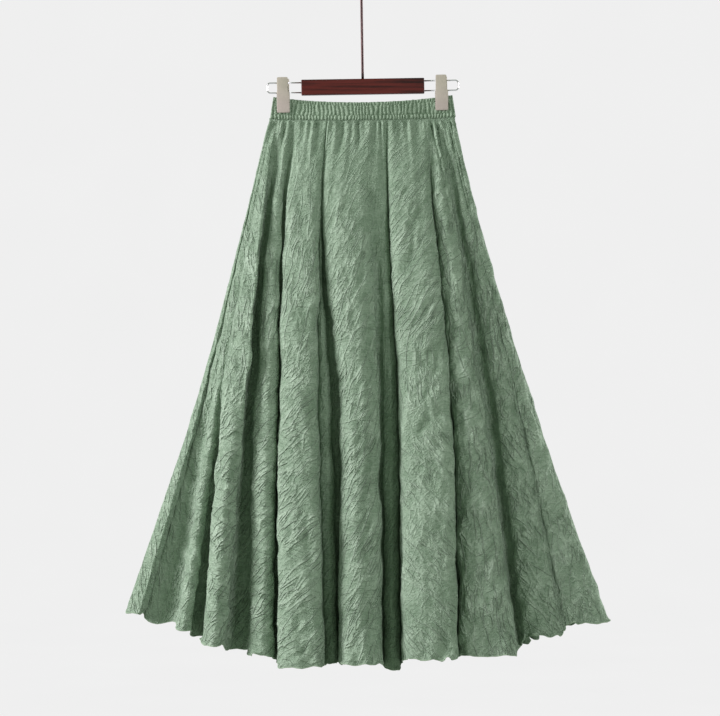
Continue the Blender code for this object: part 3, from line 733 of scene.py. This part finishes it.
class Flow:
    """A socket of a finish. Sums and products of values add their own nodes."""

    def __init__(self, tree, socket=None):
        self.tree, self.socket = tree, socket

    def node(self, kind, values=None, output=0, **settings):
        made = self.tree.nodes.new("ShaderNode" + kind)
        for name, value in settings.items():
            setattr(made, name, value)
        for name, value in (values or {}).items():
            if isinstance(value, Flow):
                self.tree.links.new(value.socket, made.inputs[name])
            else:
                made.inputs[name].default_value = value
        return Flow(self.tree, made.outputs[output])

    def math(self, operation, *values):
        return self.node("Math", dict(enumerate(values)), operation=operation)

    def __add__(self, other): return self.math("ADD", self, other)
    def __sub__(self, other): return self.math("SUBTRACT", self, other)
    def __rsub__(self, other): return self.math("SUBTRACT", other, self)
    def __mul__(self, other): return self.math("MULTIPLY", self, other)
    def __truediv__(self, other): return self.math("DIVIDE", self, other)
    def __abs__(self): return self.math("ABSOLUTE", self)
    __radd__ = __add__

    def within(self, low, high):
        return self.math("MINIMUM", self.math("MAXIMUM", self, low), high)

    def blend(self, first, second):
        """A colour between two, by this value."""
        return self.node("Mix", {0: self, 6: first, 7: second}, output=2, data_type="RGBA")

    def place(self, scale):
        return self.node("Mapping", {"Vector": self, "Scale": scale})

    def laid(self, length, width, lean, at):
        """Places measured in steps of `length` along `lean` degrees and `width` across it."""
        return self.node("Mapping", {"Vector": self, "Scale": (length, width, 1), "Location": at,
                                     "Rotation": (0, 0, math.radians(lean))}, vector_type="TEXTURE")

    def grain(self, size, detail=2.0, rough=0.5, output=0):
        return self.node("TexNoise", {"Vector": self, "Scale": size, "Detail": detail,
                                      "Roughness": rough}, output)


def finish(name):
    """A new material: itself, its surface shader's node and the flow to draw it with."""
    material = bpy.data.materials.new(name)
    material.use_nodes = True
    tree = material.node_tree
    return material, tree.nodes["Principled BSDF"], Flow(tree)


def settle(shader, flow, values, bump=None, strength=0.5, distance=0.001):
    """Sets a surface's values, with a bump of so many metres where there is one."""
    for name, value in values.items():
        if isinstance(value, Flow):
            flow.tree.links.new(value.socket, shader.inputs[name])
        else:
            shader.inputs[name].default_value = value
    if bump:
        made = flow.node("Bump", {"Height": bump, "Strength": strength, "Distance": distance})
        flow.tree.links.new(made.socket, shader.inputs["Normal"])


def rgb(red, green, blue):
    """A colour as a dyer's card gives it, made linear."""
    return tuple((c / 255 / 12.92 if c <= 10 else ((c / 255 + 0.055) / 1.055) ** 2.4)
                 for c in (red, green, blue)) + (1.0,)


FINE_LEANS = (38, 62, 87, 112, 137)     # degrees from level, each blended into the next


def cotton_finish(name, light, dark, crushed, bump=1.0):
    """Crushed cotton-linen: slubby plain weave, crinkles that run each fold's own way,
    sharp along their crests, with a painted highlight there and painted shade between."""
    material, shader, flow = finish(name)
    uv = flow.node("TexCoord", output=2)
    stray = uv.node("VectorMath", {0: uv.grain(32.0, 1.0, output=1), 3: 0.005}, operation="SCALE")
    bent = uv.node("VectorMath", {0: uv, 1: stray}, operation="ADD")

    def creases(lean, length, width, sharp, at):
        """Crest lines, from 0 between them to 1 on them."""
        waves = bent.laid(length, width, lean, at).grain(1.0, 1.0, 0.5)
        return (1.0 - abs(waves - 0.5) * sharp).within(0.0, 1.0)

    uneven = uv.grain(30.0, 3.0) - 0.5
    patches = ((uv.grain(20.0, 2.0) - 0.44) * 8.0).within(0.10, 1.0)
    slant = flow.node("Attribute", output=2, attribute_name="slant")
    relief = 0.0
    for k, lean in enumerate(FINE_LEANS):
        share = (1.0 - abs(slant - lean) / 26.0).within(0.0, 1.0)
        fine = creases(lean, 0.048, 0.0086, 15.0, (0.3 * k, 0.1, 0))
        long = creases(lean + 5, 0.110, 0.0200, 28.0, (0.7, 0.2 * k, 0))
        cross = creases(lean - 58, 0.036, 0.0160, 20.0, (0.1, 0.4 * k, 0))
        relief = relief + share * (fine * patches + long * 0.7 + cross * 0.40)
    relief = relief * crushed * flow.node("Attribute", output=2, attribute_name="crushed")
    tiny = (creases(35, 0.012, 0.0042, 9.0, (0, 0, 0))
            + creases(-25, 0.013, 0.0046, 9.0, (1, 0, 0)))
    warp = uv.place((1400, 60, 1)).grain(1.0, 1.0) - 0.5
    weft = uv.place((60, 1400, 1)).grain(1.0, 1.0) - 0.5
    flecks = uv.grain(900.0, 2.0) - 0.5
    slubs = (uv.place((430, 70, 1)).grain(1.0, 1.0)
             + uv.place((70, 430, 1)).grain(1.0, 1.0)) - 1.0
    raised = flow.node("Attribute", output=2, attribute_name="raised")
    # Paler where the cloth and its crinkles stand out, darker in their troughs: painted highlight
    # and painted shade. The weave, slubs, flecks and unevenness are the cloth's own colour.
    tone = (0.36 + raised * 0.14 + uneven * 0.5 + (warp + weft) * 0.45 + flecks * 0.5
            + slubs * 0.4 + relief * 0.34 + tiny * 0.08).within(0.0, 1.0)
    height = relief * 0.80 + tiny * 0.13 + (warp + weft) * 0.10 + flecks * 0.10 + slubs * 0.16
    settle(shader, flow, {
        "Base Color": tone.blend(dark, light), "Roughness": (0.86 + warp * 0.1).within(0.7, 1.0),
        "Specular IOR Level": 0.2, "Sheen Weight": 0.08, "Sheen Roughness": 0.5,
        "Sheen Tint": light}, height, bump, 0.0039)
    return material


def wood_finish(name):
    material, shader, flow = finish(name)
    here = flow.node("TexCoord", output=3)
    grain = here.place((9, 90, 260)).grain(1.0, 5.0, 0.6)
    pores = here.place((60, 900, 1800)).grain(1.0, 2.0, 0.5)
    figure = here.place((3, 30, 40)).grain(1.0, 2.0)
    tone = ((grain - 0.5) * 3.2 + (figure - 0.5) * 2.0 + 0.5 - (pores - 0.5) * 1.0).within(0, 1)
    settle(shader, flow, {
        "Base Color": tone.blend(rgb(38, 7, 4), rgb(92, 26, 19)),
        "Roughness": (0.52 + (grain - 0.5) * 0.25).within(0.35, 0.75),
        "Specular IOR Level": 0.3, "Coat Weight": 0.04, "Coat Roughness": 0.3},
        grain * 0.6 + pores * 0.4, 0.2, 0.0003)
    return material


def metal_finish(name, light, dark, rough, metallic, brush, bump=0.1, warm=None):
    """Plated metal with a little unevenness, brushed along z where `brush` is high."""
    material, shader, flow = finish(name)
    here = flow.node("TexCoord", output=3)
    streaks = here.place((1500, 1500, 1500 / brush)).grain(1.0, 2.0)
    cloudy = here.grain(60.0, 3.0)
    tone = ((streaks - 0.5) * 0.9 + (cloudy - 0.5) * 0.8 + 0.5).within(0, 1)
    colour = tone.blend(dark, light)
    if warm:        # yellower above the first height, wholly so above the second
        height = here.node("SeparateXYZ", {0: here}, output=2)
        shift = ((height - warm[0]) / (warm[1] - warm[0])).within(0, 1)
        colour = shift.node("Mix", {0: shift, 6: colour, 7: tone.blend(*warm[2:])},
                            output=2, data_type="RGBA")
    settle(shader, flow, {
        "Base Color": colour, "Metallic": metallic,
        "Roughness": (rough + (streaks - 0.5) * 0.16 + (cloudy - 0.5) * 0.1).within(0.04, 0.9)},
        streaks, bump, 0.0002)
    return material


COTTON = cotton_finish("sage_cotton_crinkled", rgb(175, 195, 174), rgb(105, 130, 105), 1.0)
RUCHED = cotton_finish("sage_cotton_ruched", rgb(182, 202, 180), rgb(102, 126, 101), 0.3, 0.9)
THREAD = metal_finish("sage_thread", rgb(176, 196, 170), rgb(122, 146, 120), 0.75, 0.0, 4.0, 0.3)
MAHOGANY = wood_finish("mahogany_varnished")
NICKEL = metal_finish("satin_nickel_plate", rgb(204, 191, 184), rgb(176, 164, 157), 0.6, 0.12, 14.0,
                      warm=(-0.232, -0.200, rgb(178, 170, 157), rgb(204, 196, 181)))
CHROME = metal_finish("bright_chrome", rgb(232, 232, 234), rgb(206, 206, 210), 0.12, 1.0, 3.0, 0.03)
BRONZE = metal_finish("dark_bronze_plate", rgb(78, 60, 58), rgb(46, 34, 36), 0.34, 0.85, 6.0, 0.05)


# ---------------- the skirt's panels

def add_panel(panel, creases, seed, cuts, names, slot):
    """A panel as sheets that meet in the valleys left of the ridges named in `cuts`."""
    points, raised = dress(panel, creases, seed)
    # raised: how far the cloth stands out, painted by the finish as highlight and shade
    values = {"raised": raised, "slant": lean_of(panel), "crushed": crush_of(panel)}
    columns = points.shape[1] - 1
    ridges = [fold.name for fold in panel.folds]
    valleys = [CONTROLS_PER_FOLD * ridges.index(cut) - 0.5 for cut in cuts]
    at = sorted(int(np.argmin(np.abs(panel.places - valley))) for valley in valleys)
    sheets = []
    for name, first, last in zip(names, [0] + at, at + [columns]):
        part = slice(first, last + 1)
        sheet = cloth_sheet(name, points[:, part], panel.across[:, part], panel.down[:, part],
                            {label: value[:, part] for label, value in values.items()},
                            COTTON, CLOTH)
        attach(sheet, "root")
        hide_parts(slot)
        sheets.append(sheet)
    return points, sheets


front = Panel(FRONT_FOLDS, front_edges, *FRONT_GRID, -1)
back = Panel(BACK_FOLDS, back_edges, *BACK_GRID, 1)
front_points, front_sheets = add_panel(
    front, FRONT_CREASES, 11, ("tucked", "widest"),
    ("front_panel_left", "front_panel_middle", "front_panel_right"), "skirt_front")
back_points, back_sheets = add_panel(
    back, BACK_CREASES, 211, ("back_5",), ("back_panel_right", "back_panel_left"), "skirt_back")


ROLL_RADIUS = 0.00085
BEAD = (0.00022, 0.0022)        # how far the thread's beads stand out, and their spacing


def add_hem_roll(name, points, seed):
    """The narrow overlocked roll along a panel's hem, beaded by its thread."""
    edge = points[0]
    run = np.concatenate([[0.0], np.cumsum(np.linalg.norm(np.diff(edge, axis=0), axis=1))])
    beads = np.arange(0.0, run[-1], BEAD[1])
    route = [Vector(tuple(np.interp(at, run, edge[:, axis]) for axis in range(3))) for at in beads]
    radii = [ROLL_RADIUS + BEAD[0] * float(noise(np.float64(at / 0.004), 0.5, seed))
             for at in beads]
    roll = tube(name, route, radii, 6, THREAD)
    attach(roll, "root")
    return roll


front_roll = add_hem_roll("front_hem_roll", front_points, 71)
back_roll = add_hem_roll("back_hem_roll", back_points, 72)


# ---------------- the ruched waistband

STITCH_ROWS = (0.0010, 0.0072)      # heights of the elastic's two seams above the waist seam
HEADER = 0.0052                     # the frill above the elastic
PUFFS = (0.0051, 0.0062, 0.0045)    # spacing of the gathers below, on and above the elastic
PRESSED = 0.0019                    # how far the band stands out under a clip
BAND_COLUMNS = 340
STITCH_PITCH = 0.0034
STITCH = (0.0013, 0.0003, 0.0003)


def band_place(across, rise, forward):
    """A point of the band's inside, `rise` metres above the waist seam."""
    height = mix(BAND_HEIGHT_MIDDLE, BAND_HEIGHT_ENDS, across * across)
    up = rise / height
    seam_x = SKIRT_X + WAIST_HALF * across
    x = SKIRT_X + mix(WAIST_HALF - 0.0016, BAND_TOP_HALF, up) * across
    return x, forward * mouth(seam_x), seam_z(seam_x) + SEAM_GAP / 2 + rise


def band_puffs(x, rise, height, seed):
    """How far the gathered outside of the band stands out, in metres."""
    skew = (0.50 * noise(x / 0.020, rise / 0.020, seed)
            + 0.16 * noise(x / 0.010, rise / 0.010, seed + 1) + 0.9 * ripple(x, 0.05, seed + 2))
    lower, main, header = (0.5 + 0.5 * np.cos(2 * math.pi * (x / pitch + skewed * skew))
                           for pitch, skewed in zip(PUFFS, (1.1, 1.0, 1.2)))
    top = smooth_step(height - HEADER - 0.002, height - HEADER + 0.001, rise)
    below = 1 - smooth_step(STITCH_ROWS[1] - 0.0008, STITCH_ROWS[1] + 0.0008, rise)
    puff = mix(mix(main, header, top), lower, below) ** 0.65
    size = 0.85 + 0.3 * noise(x / 0.009, rise / 0.02, seed + 3)
    out = 0.0009 + (0.0018 + 0.0004 * below) * puff * size
    for row, depth in ((STITCH_ROWS[0], 0.0009), (STITCH_ROWS[1], 0.0009),
                       (height - HEADER, 0.00035)):
        out -= depth * np.exp(-((rise - row) / 0.0010) ** 2) * (0.5 + 0.5 * puff)
    for clip in CLIP_XS.values():
        pressed = smooth_step(0.0135, 0.0105, np.abs(x - clip)) * smooth_step(0.010, 0.013, rise)
        out = mix(out, PRESSED + 0.25 * (out - PRESSED), pressed)
    end = np.clip((WAIST_HALF - np.abs(x - SKIRT_X)) / 0.004, 0.0, 1.0)
    return np.minimum(out, BAND_WALL) * (0.35 + 0.65 * np.sqrt(end))


def add_waistband(name, forward, seed, slot):
    across = np.linspace(-1, 1, BAND_COLUMNS + 1) * (1 if forward < 0 else -1)
    height = mix(BAND_HEIGHT_MIDDLE, BAND_HEIGHT_ENDS, across * across)
    loop = ([(up, 1.0) for up in np.linspace(0, 1, 31) ** 0.92] + [(1.0, 0.55)]
            + [(up, 0.0) for up in np.linspace(1, 0, 9)] + [(0.0, 1.0)])
    rows, around, raised = [], [], []
    for up, side in loop:
        rise = height * up
        x, y, z = band_place(across, rise, forward)
        out = band_puffs(x, rise, height, seed)
        crown = np.clip((1 - up) / 0.05, 0.0, 1.0)
        # How far each puff stands out: the finish paints the puffs paler and the gaps between them
        # darker, as painted highlight and painted shade.
        raised.append((out - 0.0020) / 0.0004 if side else out * 0)
        out = mix(0.0009, out, np.sqrt(crown)) if side else 0.0002 + 0.15 * out
        lift = 0.0006 * ripple(x, 0.005, seed + 9) * smooth_step(0.8, 1.0, up)
        rows.append(np.stack([x, y + forward * out * (side if side else 1.0), z + lift], 1))
        around.append(np.full(BAND_COLUMNS + 1, rise.mean() * (1 if side else -1)))
    rows[-1] = rows[0]
    band = casing(name, np.array(rows), np.tile(across * WAIST_HALF, (len(loop), 1)),
                  np.array(around), np.array(raised), RUCHED)
    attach(band, "root")
    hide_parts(slot)
    add_stitches(name + "_stitches", forward, seed)


def add_stitches(name, forward, seed):
    """The elastic's two rows of thread, each stitch a bead laid on the band."""
    stitches = bmesh.new()
    x = -WAIST_HALF + 0.004
    while x < WAIST_HALF - 0.004:
        for number, row in enumerate(STITCH_ROWS):
            if number == 0 and int(x * 1e4) % 3 == 0:       # sunk in the seam here
                continue
            share = np.array([(x + 0.0017 * number) / WAIST_HALF])
            tall = mix(BAND_HEIGHT_MIDDLE, BAND_HEIGHT_ENDS, share * share)
            px, py, pz = (float(v[0]) for v in band_place(share, np.array([row]), forward))
            out = float(band_puffs(np.array([px]), np.array([row]), tall, seed)[0])
            place = (Matrix.Translation((px, py + forward * (out + 0.0001), pz))
                     @ Matrix.Rotation(0.12 * math.sin(900 * x), 4, "Y")
                     @ Matrix.Diagonal((*STITCH, 1.0)) @ Matrix.Rotation(math.pi / 2, 4, "Y"))
            bmesh.ops.create_uvsphere(stitches, u_segments=6, v_segments=4, radius=1.0,
                                      matrix=place)
        x += STITCH_PITCH
    sewn = new_object(name, stitches, THREAD)
    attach(sewn, "root")


add_waistband("ruched_waistband_front", -1, 301, "waistband_front")
add_waistband("ruched_waistband_back", 1, 331, "waistband_back")


# ---------------- the hanger

def hang(piece, node, side_x=0.0):
    """Moves a hanger's piece from the bar's axis to its place on the tilted hanger."""
    piece.data.transform(Matrix.Rotation(-HANGER_TILT, 4, "Y")
                         @ Matrix.Translation((side_x, 0, -BAR_DROP)))
    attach(piece, "root")
    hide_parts(node)


def arc(centre, radius, first, last, steps):
    """Points of an arc in the hanger's plane, angles in degrees."""
    turns = [math.radians(mix(first, last, i / steps)) for i in range(steps + 1)]
    return [Vector((centre[0] + radius * math.cos(turn), 0, centre[1] + radius * math.sin(turn)))
            for turn in turns]


def stamped(name, outline, thick, bulge, move, material):
    """A stamped plate: an outline (x, z) filled, rounded at its rims and bulged forwards."""
    bm = new_grid(14, 46)
    left, right, bottom, top = outline
    for vert in bm.verts:
        across, up = vert.co.x + 0.5, vert.co.y + 0.5
        z = mix(bottom, top, up)
        inset = 0.0
        for end, corner in ((z - bottom, 0.0009), (top - z, 0.0016)):   # rounded corners
            if end < corner:
                inset = corner - math.sqrt(max(corner ** 2 - (corner - end) ** 2, 0.0))
        x = mix(left(z) + inset, right(z) - inset, across)
        out = bulge * (1 - (2 * across - 1) ** 2)
        roll = 0.0007 * smooth_step(bottom + 0.0016, bottom, z)     # the lip that grips
        vert.co = Vector((x, -(out - float(roll)), z))
    bm.normal_update()
    bmesh.ops.solidify(bm, geom=bm.faces[:], thickness=thick)
    bmesh.ops.recalc_face_normals(bm, faces=bm.faces)
    bm.transform(move)
    return round_rims(new_object(name, bm, material), 0.00022)


def ear(name, x, forward, root, material):
    """A lug that turns back from the plate, round at its end, where the barrel sits."""
    bm = bmesh.new()
    half = CLIP_EAR[1] / 2
    back = half - 0.0030        # the middle of its round end
    bmesh.ops.create_circle(bm, segments=32, radius=half, cap_ends=True)
    for vert in bm.verts:       # laid across the clip, its front half drawn out to the plate
        y = back + vert.co.x if vert.co.x <= 1e-6 else root
        vert.co = Vector((x - CLIP_EAR[0] / 2, forward * y, vert.co.y))
    made = bmesh.ops.extrude_face_region(bm, geom=bm.faces[:])["geom"]
    bmesh.ops.translate(bm, verts=[v for v in made if isinstance(v, bmesh.types.BMVert)],
                        vec=(CLIP_EAR[0], 0, 0))
    bmesh.ops.recalc_face_normals(bm, faces=bm.faces)
    return round_rims(new_object(name, bm, material, smooth=False), 0.00018)


def add_clip(side):
    """Two stamped jaws with their ears, and the coiled spring between the rail's prongs."""
    width, thick, height = CLIP_SIZE
    grip = SEAM_GAP / 2 + BAND_WALL + SEAM_GAP
    step = height * 0.59        # the handle above is narrower than the jaw below

    def left(z):
        return -width / 2 + 0.0007 * float(smooth_step(step - 0.002, step + 0.002, z))

    def right(z):
        return width / 2 - 0.0024 * float(smooth_step(step - 0.002, step + 0.002, z))

    for label, forward, row in (("front", -1, 0), ("back", 1, 1)):
        node = f"clip_{label}_{side}"
        move = (Matrix.Translation((0, forward * grip, -CLIP_BELOW_AXIS))
                @ Matrix.Rotation(-forward * CLIP_LEAN, 4, "X"))
        if forward > 0:
            move = move @ Matrix.Rotation(math.pi, 4, "Z")
        hang(stamped(f"{node}_plate", (left, right, 0.0, height), thick, 0.0004,
                     move @ Matrix.Translation((0, -thick, 0)), NICKEL), node, CLIP_XS[side])
        root = grip + CLIP_BELOW_AXIS * math.tan(CLIP_LEAN) + 0.0004
        ear_x = SPRING_LENGTH / 2 + SEAM_GAP + CLIP_EAR[0] / 2 + row * (CLIP_EAR[0] + SEAM_GAP)
        for end in (-1, 1):
            hang(ear(f"{node}_ear_{'left' if end < 0 else 'right'}", end * ear_x, forward, root,
                     NICKEL), node, CLIP_XS[side])
    radius = RAIL_HALF_HEIGHT - RAIL_WIRE - SEAM_GAP - SPRING_WIRE
    turns, steps = 8, 22
    route = []
    for k in range(turns * steps + 1):
        turn = 2 * math.pi * k / steps
        route.append(Vector((mix(-0.5, 0.5, k / (turns * steps)) * (SPRING_LENGTH - 0.0012),
                             radius * math.cos(turn), radius * math.sin(turn))))
    hang(tube(f"clip_spring_{side}_coil", route, [SPRING_WIRE] * len(route), 8, CHROME),
         f"clip_spring_{side}", CLIP_XS[side])


def add_rail(side):
    """A U of wire out of the bar's end and back into it."""
    sign = -1 if side == "left" else 1
    start = sign * (BAR_SIZE[0] / 2 + SEAM_GAP)
    end = sign * (RAIL_REACH - RAIL_WIRE - RAIL_CORNER)
    half = RAIL_HALF_HEIGHT
    upper = arc((end, half - RAIL_CORNER), RAIL_CORNER, 90, 90 - sign * 90, 12)
    lower = [Vector((p.x, 0, -p.z)) for p in reversed(upper)]
    route = [Vector((start, 0, half))] + upper + lower + [Vector((start, 0, -half))]
    hang(tube(f"rail_{side}_wire", route, [RAIL_WIRE] * len(route), 16, CHROME), f"rail_{side}")


def add_hook():
    """The straight stem, a neck that leans aside and the hook with its blunt tip."""
    ring = HOOK_RADIUS + HOOK_WIRE
    stem = [Vector((0, 0, mix(-BAR_DROP + BAR_SIZE[2] / 2 + SEAM_GAP, -0.066, k / 12)))
            for k in range(13)]
    neck = [Vector((x, 0, z)) for x, z in ((0.0, -0.062), (0.0004, -0.0585), (0.0014, -0.0550),
                                          (0.0029, -0.0517), (0.0047, -0.0490))]
    bow = arc((0.0, -HOOK_RADIUS), ring, -60, 205, 60)
    route = stem + neck + bow
    radii = [HOOK_WIRE * (1.25 if k > len(route) - 9 else 1.0) for k in range(len(route))]
    radii[-1] = HOOK_WIRE * 0.7
    hook = tube("hanger_hook_wire", route, radii, 18, BRONZE)
    hook.data.transform(Matrix.Rotation(-HANGER_TILT, 4, "Y"))
    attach(hook, "root")
    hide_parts("hanger_hook")


# ---------------- camera, light and floor

LIGHTS_AIM = (0, 0, -0.65)
LIGHTS = (      # name, place, width, power and how green
    ("key", (-3.8, -1.0, 0.6), 1.4, 200, 0.94), ("side", (-2.9, -2.6, 0.6), 1.4, 21, 0.95),
    ("rear", (3.6, 1.8, 0.5), 1.6, 125, 0.95), ("fill", (2.7, -2.8, 0.3), 1.6, 45, 0.94))
PAPER_SIZE = (14, 16.0)         # its width, and its run from the front up the wall
PAPER_FLAT = (-6.0, 5.5)        # it lies on the floor between these, then curves up
FLOOR_Z = -1.62


def add_camera():
    camera = bpy.data.cameras.new("camera")
    camera.lens, camera.sensor_width = 126, 36
    obj = add_object("camera", camera)
    obj.location = (-0.0013, -4.0, -0.634)
    obj.rotation_euler = (math.pi / 2, 0, 0)
    bpy.context.scene.camera = obj


def add_light(name, place, size, power, green):
    light = bpy.data.lights.new(name, "AREA")
    light.shape, light.size, light.energy, light.color = "DISK", size, power, (1.0, green, 1.0)
    obj = add_object(name, light)
    obj.location = place
    obj.rotation_euler = (Vector(LIGHTS_AIM) - obj.location).to_track_quat("-Z", "Y").to_euler()


def add_studio():
    """A pale floor that curves up into a pale wall, and soft light from the upper left."""
    material, shader, flow = finish("pale_paper")
    here = flow.node("TexCoord", output=3)
    tone = here.grain(3.0, 2.0).blend(rgb(238, 238, 238), rgb(240, 240, 240))
    settle(shader, flow, {"Base Color": rgb(8, 8, 8), "Roughness": 1.0,
                          "Specular IOR Level": 0.0, "Emission Color": tone,
                          "Emission Strength": 1.0})
    bm = new_grid(2, 48)
    width, length = PAPER_SIZE
    near, far = PAPER_FLAT
    for vert in bm.verts:
        run = (vert.co.y + 0.5) * length
        y, z = near + min(run, far - near), 0.0
        past = run - (far - near)
        if past > 0:
            turn = min(past, math.pi / 2)
            y = far + math.sin(turn)
            z = 1 - math.cos(turn) + max(past - math.pi / 2, 0.0)
        vert.co = Vector((vert.co.x * width, y, z + FLOOR_Z))
    paper = new_object("pale_paper_sweep", bm, material)
    paper.visible_diffuse = False
    world = bpy.data.worlds.new("studio")
    world.use_nodes = True
    sky = Flow(world.node_tree)
    seen = sky.node("LightPath").blend((0.82, 1.0, 0.77, 1), (2.9, 2.9, 2.9, 1))
    settle(world.node_tree.nodes["Background"], sky, {"Color": seen, "Strength": 0.30})
    scene = bpy.context.scene
    scene.world = world
    for light in LIGHTS:
        add_light(*light)
    scene.view_settings.view_transform = "Standard"
    scene.view_settings.look = "None"


add_camera()
add_studio()

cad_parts["hanger_bar"].material_slots[0].material = MAHOGANY
add_hook()
for side in ("left", "right"):
    add_rail(side)
    add_clip(side)

# what shows of each sheet, laid flat: its width along the hem, and its area
for sheet, (width, area) in zip(front_sheets + back_sheets, (
        (0.68, 0.33), (0.33, 0.19), (0.64, 0.31), (0.73, 0.37), (0.62, 0.31))):
    front_roll if sheet in front_sheets else back_roll
